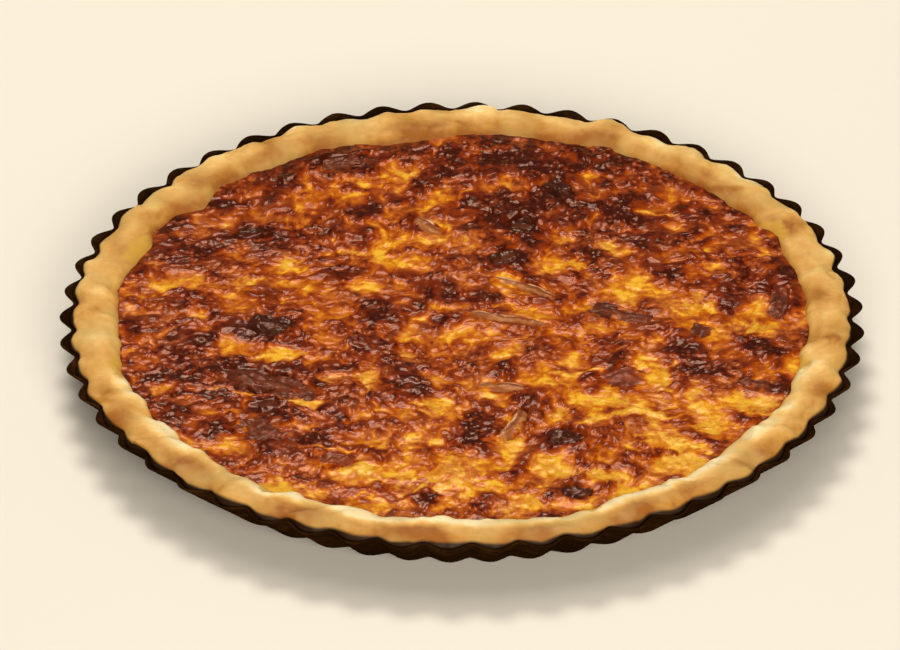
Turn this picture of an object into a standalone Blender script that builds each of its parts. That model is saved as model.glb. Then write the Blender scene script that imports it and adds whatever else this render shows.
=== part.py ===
"""A round quiche in its own shallow fluted tin.

The tin is one dished sheet, the pastry case sits in it, and the baked custard fills the case.
Strips of bacon and onion and small cubes of bacon lie half sunk in the top of the custard.
Metres, +Z up, origin at the middle of the tin's foot.
"""

import math

import bmesh
import bpy
from mathutils import Matrix, Vector, noise

MM = 0.001
GAP = 0.4 * MM  # clearance between neighbouring pieces

# Tin
TIN_HEIGHT = 19.5 * MM
TIN_TOP_RADIUS = 140.5 * MM  # to the flute crests at the open edge
TIN_FOOT_RADIUS = 119 * MM  # to the flute crests just above the foot
TIN_FOOT_BEND = 2.4 * MM
TIN_SHEET = 0.9 * MM
FLUTE_COUNT = 52
FLUTE_DEPTH = 4.2 * MM  # at the open edge
FLUTE_DEPTH_LEFT_AT_FOOT = 0.7
FLUTE_START = math.radians(1.4)  # angle of the first crease between two flutes
TIN_COLUMNS = 4 * FLUTE_COUNT

# Pastry case
PASTRY_COLUMNS = 2 * FLUTE_COUNT
PASTRY_BASE = 3.6 * MM
PASTRY_FLOOR = TIN_SHEET + GAP + PASTRY_BASE
PASTRY_FLOOR_RADIUS = 106 * MM
PASTRY_WALL_CLEARANCE = 1.7 * MM  # between the tin's creases and the pastry
RIM_INNER_RADIUS = 121 * MM
RIM_CREST_RADIUS = 129.2 * MM
RIM_CREST = TIN_HEIGHT + 2.8 * MM
RIM_WAVE_SIDEWAYS = 0.9 * MM
RIM_WAVE_UP = 0.6 * MM
RIM_SHOULDER_DROP = 1.1 * MM
RIM_SHOULDER_WIDTH = 2.0 * MM
CREST_FOLLOWS_FOLD = 0.35  # share of a fold's reach that the rolled edge's crest takes
RIM_BULGE_IN_FLUTES = 2.0 * MM

# Bends of the rolled edge: angle in degrees, half width in degrees, reach towards the middle in mm
RIM_FOLDS = (
    (28, 5, -3.0),
    (64, 5, -2.2),
    (73, 6, 3.0),
    (99, 8, 4.0),
    (125, 5, 1.6),
    (141, 5, 4.0),
    (150, 5, -2.4),
    (163, 5, -2.0),
    (194, 5, -1.8),
    (236, 5, -1.8),
    (246, 5, 2.2),
    (268, 5, 2.4),
    (289, 6, -2.6),
    (304, 6, 1.4),
    (341, 8, -2.0),
)

# Custard
FILLING_EDGE = TIN_HEIGHT - 0.9 * MM
FILLING_FOOT_RADIUS = PASTRY_FLOOR_RADIUS - 3.2 * MM
FILLING_DOME = 1.2 * MM
FILLING_WAVE = 1.0 * MM
FILLING_WAVE_LENGTH = 34 * MM
FILLING_RINGS = (0.3, 0.62, 0.9)  # as shares of the edge's radius

# What is baked into the top: name, x, y, length, width, height in mm, turn in degrees, bend, squareness
TOPPINGS = (
    ("onion_strip_1", 22, 23, 40, 6, 4.2, -30, -0.05, 0.75),
    ("onion_strip_2", 14, 3, 45, 5.5, 3.8, -14, 0.04, 0.75),
    ("onion_strip_3", -12, 61, 21, 9, 4.6, -42, 0.08, 0.80),
    ("onion_strip_4", 14, -38, 28, 6.5, 4.2, -8, -0.05, 0.75),
    ("onion_strip_5", 19, -62, 32, 8, 4.6, 66, 0.15, 0.80),
    ("bacon_strip_1", 55, 7, 36, 11, 5.2, -21, 0.06, 0.62),
    ("bacon_strip_2", -40, 103, 32, 12, 4.8, 16, -0.06, 0.62),
    ("bacon_strip_3", -68, -66, 40, 16, 6.2, -18, 0.05, 0.62),
    ("bacon_strip_4", -65, -37, 50, 17, 6.4, -27, -0.04, 0.62),
    ("bacon_strip_5", 111, 16, 32, 9, 5.0, 88, 0.08, 0.62),
    ("bacon_strip_6", 102, -36, 20, 8, 4.8, -25, 0.00, 0.62),
    ("bacon_piece_1", 84, -3, 14, 12, 5.0, 12, 0.00, 0.60),
    ("ham_piece_1", 56, -32, 22, 17, 5.6, 20, 0.00, 0.70),
    ("ham_piece_2", -44, -83, 22, 12, 5.4, 7, 0.05, 0.70),
    ("lardon_1", 16, 42, 19, 9, 6.6, 24, 0.05, 0.70),
    ("lardon_2", 34, 86, 18, 13, 6.8, -50, 0.00, 0.75),
    ("lardon_3", 21, 63, 14, 13, 6.4, 10, 0.00, 0.75),
    ("lardon_4", -67, 0, 24, 17, 7.6, -9, 0.05, 0.75),
    ("lardon_5", -74, 58, 16, 12, 6.4, 5, 0.00, 0.75),
    ("lardon_6", 40, -102, 18, 11, 6.2, -4, 0.00, 0.75),
    ("lardon_7", 36, -69, 21, 12, 6.6, 0, 0.00, 0.75),
)
TOPPING_SUNK = 0.18  # how far its middle lies under the custard, as a share of its height
TOPPING_LUMP = 0.2  # unevenness, as a share of its width and height


def clear_scene():
    for old in list(bpy.data.objects):
        bpy.data.objects.remove(old)


def collection(name):
    made = bpy.data.collections.new(name)
    bpy.context.scene.collection.children.link(made)
    return made


def material(name, color, roughness, metallic=0.0):
    made = bpy.data.materials.new(name)
    made.use_nodes = True
    shader = made.node_tree.nodes["Principled BSDF"]
    shader.inputs["Base Color"].default_value = (*color, 1.0)
    shader.inputs["Roughness"].default_value = roughness
    shader.inputs["Metallic"].default_value = metallic
    return made


def turned(name, profile, columns, into):
    """A plain mesh from a profile of (radius, height) points turned about Z, a column on each crease."""
    points = [(radius, 0.0, height) for radius, height in profile]
    edges = [(i, i + 1) for i in range(len(points) - 1)]
    outline = bpy.data.meshes.new(name + "_outline")
    outline.from_pydata(points, edges, [])
    made = bpy.data.objects.new(name, outline)
    into.objects.link(made)
    screw = made.modifiers.new("Turn", "SCREW")
    screw.steps = screw.render_steps = columns
    screw.use_merge_vertices = True
    screw.merge_threshold = 0.00005
    graph = bpy.context.evaluated_depsgraph_get()
    made.data = bpy.data.meshes.new_from_object(made.evaluated_get(graph))
    made.data.name = name
    made.data.transform(Matrix.Rotation(FLUTE_START, 4, "Z"))
    made.modifiers.clear()
    return made


def wobble(angle, waves, seed):
    """Smooth unevenness round the object, from -1 to 1."""
    return noise.noise(Vector((waves * math.cos(angle), waves * math.sin(angle), seed)))


def flute(angle):
    """0 in the crease between two flutes, 1 on a flute's crest."""
    share = ((angle - FLUTE_START) * FLUTE_COUNT / (2 * math.pi)) % 1.0
    return math.sin(math.pi * share)


def rim_fold(angle):
    """How far the rolled edge reaches towards the middle at this angle, in metres."""
    reach = RIM_WAVE_SIDEWAYS * wobble(angle, waves=4, seed=3.1)
    for middle, half_width, depth in RIM_FOLDS:
        off = math.remainder(angle - math.radians(middle), 2 * math.pi)
        reach += depth * MM * math.exp(-((off / math.radians(half_width)) ** 2))
    return reach


def filling_top(x, y):
    """Height of the custard's surface."""
    share = min(1.0, math.hypot(x, y) / RIM_INNER_RADIUS)
    wave = noise.noise(Vector((x, y, 7 * MM)) / FILLING_WAVE_LENGTH)
    return FILLING_EDGE + FILLING_DOME * (1 - share**2) + FILLING_WAVE * wave * (1 - share**6)


def make_tin(into):
    profile = (
        (TIN_TOP_RADIUS, TIN_HEIGHT),
        (TIN_FOOT_RADIUS, TIN_FOOT_BEND),
        (TIN_FOOT_RADIUS - TIN_FOOT_BEND, 0.0),
        (0.0, 0.0),
    )
    tin = turned("tin", profile, TIN_COLUMNS, into)
    for vertex in tin.data.vertices:
        x, y, z = vertex.co
        radius = math.hypot(x, y)
        if radius > TIN_FOOT_RADIUS / 2:
            angle = math.atan2(y, x)
            left = FLUTE_DEPTH_LEFT_AT_FOOT + (1 - FLUTE_DEPTH_LEFT_AT_FOOT) * z / TIN_HEIGHT
            pulled_in = FLUTE_DEPTH * left * (1 - flute(angle))
            vertex.co.x = x * (radius - pulled_in) / radius
            vertex.co.y = y * (radius - pulled_in) / radius
    sheet = tin.modifiers.new("Sheet", "SOLIDIFY")
    sheet.thickness = TIN_SHEET
    sheet.offset = -1.0
    sheet.use_quality_normals = True
    tin.data.materials.append(material("tin", (0.020, 0.014, 0.010), 0.38, 0.6))
    return tin


def make_pastry(into):
    tin_crease_top = TIN_TOP_RADIUS - FLUTE_DEPTH
    outer_top = tin_crease_top - PASTRY_WALL_CLEARANCE
    outer_foot = TIN_FOOT_RADIUS - FLUTE_DEPTH - PASTRY_WALL_CLEARANCE
    underside = TIN_SHEET + GAP
    inner_shoulder = (RIM_INNER_RADIUS + RIM_SHOULDER_WIDTH, RIM_CREST - RIM_SHOULDER_DROP)
    outer_shoulder = (outer_top - RIM_SHOULDER_WIDTH, RIM_CREST - RIM_SHOULDER_DROP)
    profile = (
        (0.0, PASTRY_FLOOR),
        (PASTRY_FLOOR_RADIUS, PASTRY_FLOOR),
        (RIM_INNER_RADIUS, FILLING_EDGE),
        inner_shoulder,
        (RIM_CREST_RADIUS, RIM_CREST),
        outer_shoulder,
        (outer_top, TIN_HEIGHT),
        (outer_foot, underside + TIN_FOOT_BEND),
        (outer_foot - TIN_FOOT_BEND, underside),
        (0.0, underside),
    )
    pastry = turned("pastry_case", profile, PASTRY_COLUMNS, into)
    for vertex in pastry.data.vertices:
        x, y, z = vertex.co
        radius = math.hypot(x, y)
        angle = math.atan2(y, x)
        share = 1.0
        lift = 0.0
        if z > FILLING_EDGE - GAP and radius < RIM_CREST_RADIUS + GAP:
            inside = (RIM_CREST_RADIUS - radius) / (RIM_CREST_RADIUS - RIM_INNER_RADIUS)
            follows = CREST_FOLLOWS_FOLD + (1 - CREST_FOLLOWS_FOLD) * inside
            share -= rim_fold(angle) * follows / radius
        if z > TIN_HEIGHT + GAP:
            lift = RIM_WAVE_UP * wobble(angle, waves=6, seed=8.4)
        if radius > RIM_CREST_RADIUS + GAP:
            share += RIM_BULGE_IN_FLUTES * flute(angle) / radius
        vertex.co = (x * share, y * share, z + lift)
    pastry.data.materials.append(material("pastry", (0.72, 0.46, 0.20), 0.62))
    return pastry


def make_filling(into):
    edge = RIM_INNER_RADIUS
    profile = [(0.0, FILLING_EDGE)]
    profile += [(edge * share, FILLING_EDGE) for share in FILLING_RINGS]
    profile += [
        (edge, FILLING_EDGE),
        (FILLING_FOOT_RADIUS, PASTRY_FLOOR + GAP),
        (0.0, PASTRY_FLOOR + GAP),
    ]
    filling = turned("filling", profile, PASTRY_COLUMNS, into)
    for vertex in filling.data.vertices:
        x, y, z = vertex.co
        if z < FILLING_EDGE - GAP:
            continue
        inside = math.hypot(x, y) / edge
        edge_here = edge - rim_fold(math.atan2(y, x)) - 2 * GAP
        share = 1 + (edge_here / edge - 1) * inside**4
        top = FILLING_EDGE - GAP if inside > 0.99 else filling_top(x * share, y * share)
        vertex.co = (x * share, y * share, top)
    filling.data.materials.append(material("filling", (0.62, 0.27, 0.06), 0.35))
    return filling


def topping_mesh(name, length, width, height, bend, square, seed, grow=0.0):
    """A lump or strip along X. Its sides are squared off, its ends bend towards +Y, and grow adds a skin."""
    body = bmesh.new()
    bmesh.ops.create_icosphere(body, subdivisions=2, radius=1.0)
    for vertex in body.verts:
        unit = vertex.co.copy()
        boxed = [math.copysign(abs(value) ** square, value) for value in unit]
        bump = 1 + TOPPING_LUMP * noise.noise(1.4 * unit + Vector((seed, 0, 0)))
        x = boxed[0] * (length / 2 + grow)
        y = boxed[1] * (width / 2 * bump + grow)
        z = boxed[2] * (height / 2 * bump + grow)
        vertex.co = (x, y + bend * length * (2 * x / length) ** 2, z)
    made = bpy.data.meshes.new(name)
    body.to_mesh(made)
    body.free()
    return made


def topping_material(name):
    colors = {
        "onion": ((0.42, 0.25, 0.12), 0.30),
        "bacon": ((0.19, 0.07, 0.04), 0.36),
        "ham": ((0.30, 0.11, 0.07), 0.36),
        "lardon": ((0.06, 0.025, 0.015), 0.32),
    }
    kind = name.split("_")[0]
    return bpy.data.materials.get(kind) or material(kind, *colors[kind])


def make_toppings(filling, into, cutters):
    for index, (name, x, y, length, width, height, turn, bend, square) in enumerate(TOPPINGS):
        sizes = [length * MM, width * MM, height * MM]
        middle = Vector((x * MM, y * MM, filling_top(x * MM, y * MM) - TOPPING_SUNK * sizes[2]))
        place = Matrix.Translation(middle) @ Matrix.Rotation(math.radians(turn), 4, "Z")
        piece = bpy.data.objects.new(name, topping_mesh(name, *sizes, bend, square, index * 3.7))
        piece.matrix_world = place
        piece.data.materials.append(topping_material(name))
        into.objects.link(piece)

        cutter_mesh = topping_mesh(name + "_socket", *sizes, bend, square, index * 3.7, grow=GAP)
        cutter = bpy.data.objects.new(name + "_socket", cutter_mesh)
        cutter.matrix_world = place
        cutter.hide_render = True
        cutter.display_type = "WIRE"
        cutters.objects.link(cutter)
        cut = filling.modifiers.new("Socket for " + name, "BOOLEAN")
        cut.operation = "DIFFERENCE"
        cut.object = cutter


def shade(objects):
    for made in objects:
        made.data.shade_smooth()
        made.data.set_sharp_from_angle(angle=math.radians(50))


def main():
    clear_scene()
    parts = collection("quiche")
    cutters = collection("cutters")
    tin = make_tin(parts)
    pastry = make_pastry(parts)
    filling = make_filling(parts)
    make_toppings(filling, parts, cutters)
    shade([tin, pastry, filling])


main()
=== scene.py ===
import math

import bmesh
import bpy
import numpy as np
from mathutils import Matrix, Vector, noise


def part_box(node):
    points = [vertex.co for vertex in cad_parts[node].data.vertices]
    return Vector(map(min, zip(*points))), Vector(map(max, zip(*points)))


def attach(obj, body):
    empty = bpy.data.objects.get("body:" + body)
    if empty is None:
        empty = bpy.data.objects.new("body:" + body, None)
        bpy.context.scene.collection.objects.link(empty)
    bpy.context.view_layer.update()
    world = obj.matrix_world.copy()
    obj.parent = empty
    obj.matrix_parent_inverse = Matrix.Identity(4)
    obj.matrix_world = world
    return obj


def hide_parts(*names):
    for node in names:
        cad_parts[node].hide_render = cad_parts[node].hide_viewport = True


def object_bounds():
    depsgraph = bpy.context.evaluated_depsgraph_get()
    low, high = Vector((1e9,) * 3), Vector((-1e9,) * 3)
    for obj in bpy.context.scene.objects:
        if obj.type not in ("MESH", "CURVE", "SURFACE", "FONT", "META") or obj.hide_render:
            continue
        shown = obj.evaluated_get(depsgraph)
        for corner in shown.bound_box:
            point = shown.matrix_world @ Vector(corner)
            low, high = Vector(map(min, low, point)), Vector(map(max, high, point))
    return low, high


mm = 0.001
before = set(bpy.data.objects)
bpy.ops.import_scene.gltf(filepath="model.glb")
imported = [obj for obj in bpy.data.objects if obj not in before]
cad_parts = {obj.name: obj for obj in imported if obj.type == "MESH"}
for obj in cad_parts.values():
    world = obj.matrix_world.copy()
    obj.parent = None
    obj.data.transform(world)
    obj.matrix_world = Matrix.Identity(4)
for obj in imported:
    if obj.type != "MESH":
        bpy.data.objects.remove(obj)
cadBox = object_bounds()
tinLow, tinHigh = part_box("tin")
print("frame loaded")

# the tin and the folds of the rolled edge, as the solids have them
tin = {
    "flutes": 52,
    "firstCrease": math.radians(1.4),
    "height": 19.5 * mm,
    "topRadius": 140.5 * mm,
    "footRadius": 119 * mm,
    "footBend": 2.4 * mm,
    "fluteDepth": 4.2 * mm,
    "depthLeftAtFoot": 0.7,
    "creaseRound": 0.28,
    "sheet": 0.8 * mm,
    "columnsPerFlute": 16,
    "rows": 36,
    "footAt": 0.42,  # share of the rows that the flat foot takes
}


# ---- noise

def softNoise(x, y, size, seed):
    # smooth bumps between -1 and 1, about one for each size
    picker = np.random.default_rng(seed)
    order = picker.permutation(256)
    turn = picker.uniform(0, 2 * math.pi, 256)
    ix, iy = np.floor(x / size).astype(int), np.floor(y / size).astype(int)
    fx, fy = x / size - ix, y / size - iy

    def corner(stepX, stepY):
        angle = turn[order[(order[(ix + stepX) & 255] + iy + stepY) & 255]]
        return np.cos(angle) * (fx - stepX) + np.sin(angle) * (fy - stepY)

    u = fx**3 * (fx * (fx * 6 - 15) + 10)
    v = fy**3 * (fy * (fy * 6 - 15) + 10)
    near = corner(0, 0) + u * (corner(1, 0) - corner(0, 0))
    far = corner(0, 1) + u * (corner(1, 1) - corner(0, 1))
    return 1.4 * (near + v * (far - near))


def roughNoise(x, y, size, seed, octaves=4, keep=0.5):
    total = np.zeros_like(x)
    for octave in range(octaves):
        total += keep**octave * softNoise(x, y, size / 2**octave, seed + octave)
    return total


def cellNoise(x, y, size, seed):
    # distance to the nearest and second nearest cell middle, in cell sizes, and the nearest cell's own number
    picker = np.random.default_rng(seed)
    order = picker.permutation(256)
    shiftX, shiftY, own = picker.uniform(0, 1, (3, 256))
    ix, iy = np.floor(x / size).astype(int), np.floor(y / size).astype(int)
    fx, fy = x / size - ix, y / size - iy
    first = np.full_like(x, 9.0)
    second = np.full_like(x, 9.0)
    number = np.zeros_like(x)
    for stepX in (-1, 0, 1):
        for stepY in (-1, 0, 1):
            pick = order[(order[(ix + stepX) & 255] + iy + stepY) & 255]
            away = np.hypot(stepX + shiftX[pick] - fx, stepY + shiftY[pick] - fy)
            nearer = away < first
            second = np.where(nearer, first, np.minimum(second, away))
            number = np.where(nearer, own[pick], number)
            first = np.minimum(first, away)
    return first, second, number


def smoothStep(value, low, high):
    share = np.clip((value - low) / (high - low), 0, 1)
    return share * share * (3 - 2 * share)


# ---- meshes

def newPiece(name, points, faces, look):
    mesh = bpy.data.meshes.new(name)
    mesh.from_pydata([tuple(p) for p in points], [], faces)
    mesh.update()
    piece = bpy.data.objects.new(name, mesh)
    bpy.context.scene.collection.objects.link(piece)
    mesh.materials.append(look)
    return piece


def pointValue(piece, name, values):
    layer = piece.data.attributes.new(name, "FLOAT", "POINT")
    layer.data.foreach_set("value", np.asarray(values, dtype=np.float32).ravel())


def readPoints(mesh):
    flat = np.zeros(len(mesh.vertices) * 3)
    mesh.vertices.foreach_get("co", flat)
    return flat.reshape(-1, 3)


def bakeModifiers(piece):
    # the modifiers' result as the piece's plain mesh
    graph = bpy.context.evaluated_depsgraph_get()
    mesh = bpy.data.meshes.new_from_object(piece.evaluated_get(graph))
    piece.modifiers.clear()
    piece.data = mesh


def faceOutwards(piece):
    body = bmesh.new()
    body.from_mesh(piece.data)
    bmesh.ops.recalc_face_normals(body, faces=body.faces)
    body.to_mesh(piece.data)
    body.free()
    piece.data.shade_smooth()


# ---- materials

def newLook(name):
    look = bpy.data.materials.new(name)
    look.use_nodes = True
    return look, look.node_tree, look.node_tree.nodes["Principled BSDF"]


def addNode(tree, kind, inputs=(), **settings):
    made = tree.nodes.new(kind)
    for key, value in settings.items():
        setattr(made, key, value)
    for key, value in dict(inputs).items():
        if isinstance(value, bpy.types.NodeSocket):
            tree.links.new(value, made.inputs[key])
        else:
            made.inputs[key].default_value = value
    return made


def addNoise(tree, size, detail=4.0, rough=0.55, twist=0.0, where=None):
    # a noise texture whose bumps are about the given size in metres
    where = where or addNode(tree, "ShaderNodeTexCoord").outputs["Object"]
    inputs = {"Vector": where, "Scale": 0.5 / size, "Detail": detail, "Roughness": rough, "Distortion": twist}
    return addNode(tree, "ShaderNodeTexNoise", inputs).outputs["Fac"]


def addRamp(tree, value, stops):
    ramp = addNode(tree, "ShaderNodeValToRGB", {"Fac": value})
    points = ramp.color_ramp.elements
    while len(points) < len(stops):
        points.new(0.5)
    for point, (place, color) in zip(points, stops):
        point.position = place
        point.color = (*color, 1.0) if len(color) == 3 else color
    return ramp.outputs["Color"]


def addMath(tree, operation, first, second=0.0, third=0.0):
    made = addNode(tree, "ShaderNodeMath", {0: first, 1: second, 2: third}, operation=operation)
    return made.outputs["Value"]


def addRange(tree, value, low, high, newLow=0.0, newHigh=1.0):
    inputs = {"Value": value, "From Min": low, "From Max": high, "To Min": newLow, "To Max": newHigh}
    return addNode(tree, "ShaderNodeMapRange", inputs).outputs["Result"]


def addMix(tree, share, first, second, blend="MIX"):
    made = addNode(tree, "ShaderNodeMix", data_type="RGBA", blend_type=blend)
    for place, value in ((0, share), (6, first), (7, second)):
        if isinstance(value, bpy.types.NodeSocket):
            tree.links.new(value, made.inputs[place])
        else:
            made.inputs[place].default_value = value if place == 0 else (*value, 1.0)
    return made.outputs[2]


def addBump(tree, height, depth, before=None):
    inputs = {"Height": height, "Strength": 1.0, "Distance": depth}
    if before:
        inputs["Normal"] = before
    return addNode(tree, "ShaderNodeBump", inputs).outputs["Normal"]


def addShine(shader, level, tint):
    shader.inputs["Specular IOR Level"].default_value = level
    shader.inputs["Specular Tint"].default_value = (*tint, 1.0)


def tinLook():
    look, tree, shader = newLook("darkTinplate")
    blotch = addNoise(tree, 14 * mm, detail=5)
    grease = addNoise(tree, 3 * mm, detail=6, rough=0.7)
    stain = addRange(tree, addMath(tree, "MULTIPLY", blotch, grease), 0.22, 0.42)
    color = addMix(tree, stain, (0.0150, 0.0056, 0.0014), (0.048, 0.0180, 0.0042))
    tree.links.new(color, shader.inputs["Base Color"])
    tree.links.new(addRange(tree, grease, 0.3, 0.7, 0.34, 0.55), shader.inputs["Roughness"])
    tree.links.new(addBump(tree, grease, 0.04 * mm), shader.inputs["Normal"])
    addShine(shader, 0.0, (1.0, 0.75, 0.5))
    return look


def pastryLook():
    look, tree, shader = newLook("bakedPastry")
    # how toasted the pastry is, with painted shade and painted highlights mixed in
    toasted = addNode(tree, "ShaderNodeAttribute", attribute_name="toasted").outputs["Fac"]
    scorched = addNode(tree, "ShaderNodeAttribute", attribute_name="scorched").outputs["Fac"]
    film = addNode(tree, "ShaderNodeAttribute", attribute_name="film").outputs["Fac"]
    soft = addNoise(tree, 8 * mm, detail=4)
    grain = addNoise(tree, 1.1 * mm, detail=5, rough=0.65)
    speck = addNoise(tree, 2.3 * mm, detail=3)
    level = addMath(tree, "ADD", toasted, addRange(tree, soft, 0.3, 0.7, -0.18, 0.18))
    level = addMath(tree, "ADD", level, addRange(tree, grain, 0.3, 0.7, -0.06, 0.06))
    stops = (
        (0.0, (0.98, 0.80, 0.44)),
        (0.22, (0.90, 0.58, 0.190)),
        (0.45, (0.72, 0.385, 0.094)),
        (0.75, (0.50, 0.220, 0.036)),
        (1.0, (0.34, 0.110, 0.014)),
    )
    color = addRamp(tree, level, stops)
    butter = addNoise(tree, 11 * mm, detail=3)
    color = addMix(tree, addRange(tree, butter, 0.46, 0.64, 0.0, 0.6), color, (0.60, 0.375, 0.105))
    color = addMix(tree, addRange(tree, speck, 0.60, 0.75, 0.0, 0.35), color, (0.56, 0.25, 0.055))
    egg = addMath(tree, "ADD", film, addRange(tree, speck, 0.3, 0.7, -0.3, 0.3))
    color = addMix(tree, addRange(tree, egg, 0.30, 0.65, 0.0, 0.9), color, (0.60, 0.33, 0.048))
    # nearly black where the pastry sinks below the tin's edge: browning against the tin and painted shade in the gap
    color = addMix(tree, scorched, color, (0.030, 0.011, 0.004))
    tree.links.new(color, shader.inputs["Base Color"])
    tree.links.new(addRange(tree, soft, 0.3, 0.7, 0.5, 0.68), shader.inputs["Roughness"])
    bump = addBump(tree, speck, 0.22 * mm)
    tree.links.new(addBump(tree, grain, 0.12 * mm, bump), shader.inputs["Normal"])
    shader.inputs["Subsurface Weight"].default_value = 0.06
    shader.inputs["Subsurface Radius"].default_value = (1.0, 0.45, 0.18)
    shader.inputs["Subsurface Scale"].default_value = 1.2 * mm
    addShine(shader, 0.25, (1.0, 0.86, 0.66))
    return look


# baked custard from pale yellow egg to nearly black crust: strong colors, and the duller, paler ones of dry cheese,
# which also stand in for a painted sheen
crustColors = (
    (0.0, (0.87, 0.45, 0.030), (0.92, 0.56, 0.22)),
    (0.07, (0.73, 0.275, 0.009), (0.75, 0.33, 0.075)),
    (0.17, (0.57, 0.148, 0.0045), (0.59, 0.185, 0.036)),
    (0.32, (0.43, 0.081, 0.0025), (0.44, 0.106, 0.018)),
    (0.50, (0.295, 0.041, 0.0014), (0.31, 0.058, 0.009)),
    (0.68, (0.205, 0.0235, 0.0011), (0.225, 0.038, 0.0065)),
    (0.84, (0.135, 0.0130, 0.0009), (0.15, 0.022, 0.0045)),
    (0.95, (0.078, 0.0070, 0.0007), (0.092, 0.012, 0.0032)),
    (1.0, (0.050, 0.0046, 0.0006), (0.062, 0.0085, 0.0026)),
)


def crustColor(tree):
    # color, height for bump and roughness of the browned custard at this point
    bake = addNode(tree, "ShaderNodeAttribute", attribute_name="bake").outputs["Fac"]
    where = addNode(tree, "ShaderNodeTexCoord").outputs["Object"]
    middle = addNoise(tree, 3.0 * mm, detail=3, rough=0.6)
    fine = addNoise(tree, 1.1 * mm, detail=2, rough=0.6)
    level = addMath(tree, "MULTIPLY_ADD", bake, 0.98, addRange(tree, middle, 0.3, 0.7, -0.125, 0.195))
    level = addMath(tree, "ADD", level, addRange(tree, fine, 0.3, 0.7, -0.07, 0.07))
    bendInputs = {"Vector": where, "Scale": 0.5 / (4 * mm), "Detail": 1.0}
    bend = addNode(tree, "ShaderNodeTexNoise", bendInputs).outputs["Color"]
    moved = addNode(tree, "ShaderNodeMix", {0: 0.0016, 4: where, 5: bend}, data_type="VECTOR").outputs[1]
    cells = addNode(tree, "ShaderNodeTexVoronoi", {"Vector": moved, "Scale": 1 / (1.8 * mm)})
    beads = cells.outputs["Distance"]
    tone = addNode(tree, "ShaderNodeSeparateColor", {"Color": cells.outputs["Color"]}).outputs[0]
    cluster = addNoise(tree, 6 * mm, detail=2)
    crusty = addMath(tree, "MULTIPLY", addRange(tree, level, 0.2, 0.45), addRange(tree, cluster, 0.42, 0.56))
    # painted shade and highlight: darker at the borders between beads, lighter at their middles
    level = addMath(tree, "MULTIPLY_ADD", addRange(tree, beads, 0.1, 0.7, -0.07, 0.09), crusty, level)
    level = addMath(tree, "MULTIPLY_ADD", addRange(tree, tone, 0.0, 1.0, -0.11, 0.13), crusty, level)
    strong = addRamp(tree, level, [(place, color) for place, color, dryAndSheen in crustColors])
    dullAndSheen = addRamp(tree, level, [(place, dryAndSheen) for place, color, dryAndSheen in crustColors])
    # duller, paler patches: dry cheese, and partly a painted sheen
    dryAndSheen = addRange(tree, addNoise(tree, 7 * mm, detail=3, rough=0.65), 0.47, 0.64, 0.0, 0.75)
    dryAndSheen = addMath(tree, "MULTIPLY", dryAndSheen, addRange(tree, level, 0.06, 0.3, 0.35, 1.0))
    color = addMix(tree, dryAndSheen, strong, dullAndSheen)
    lemon = addMath(tree, "MULTIPLY", addRange(tree, cluster, 0.52, 0.62, 0.0, 0.6), addRange(tree, level, 0.28, 0.08))
    color = addMix(tree, lemon, color, (0.74, 0.42, 0.040))
    # painted highlight: salmon glints painted on the middles of the beads in the crust
    paintedGlint = addMath(tree, "MULTIPLY", addRange(tree, beads, 0.50, 0.20), crusty)
    paintedGlint = addMath(tree, "MULTIPLY", paintedGlint, addRange(tree, tone, 0.45, 0.15, 0.0, 0.24))
    color = addMix(tree, paintedGlint, color, (0.70, 0.28, 0.12))
    height = addMath(tree, "MULTIPLY", addMath(tree, "MULTIPLY", beads, -0.22), crusty)
    crinkle = addNoise(tree, 3.2 * mm, detail=1.2, rough=0.45, twist=0.6)
    height = addMath(tree, "MULTIPLY_ADD", crinkle, 1.5, height)
    height = addMath(tree, "MULTIPLY_ADD", fine, 0.06, height)
    gloss = addRange(tree, level, 0.4, 0.9, 0.24, 0.21)
    return color, height, gloss


def custardLook():
    look, tree, shader = newLook("brownedCustard")
    color, height, gloss = crustColor(tree)
    tree.links.new(color, shader.inputs["Base Color"])
    tree.links.new(gloss, shader.inputs["Roughness"])
    tree.links.new(addBump(tree, height, 0.55 * mm), shader.inputs["Normal"])
    shader.inputs["Subsurface Weight"].default_value = 0.05
    shader.inputs["Subsurface Radius"].default_value = (1.0, 0.35, 0.08)
    shader.inputs["Subsurface Scale"].default_value = 1.2 * mm
    addShine(shader, 0.22, (1.0, 0.50, 0.30))
    return look


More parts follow.
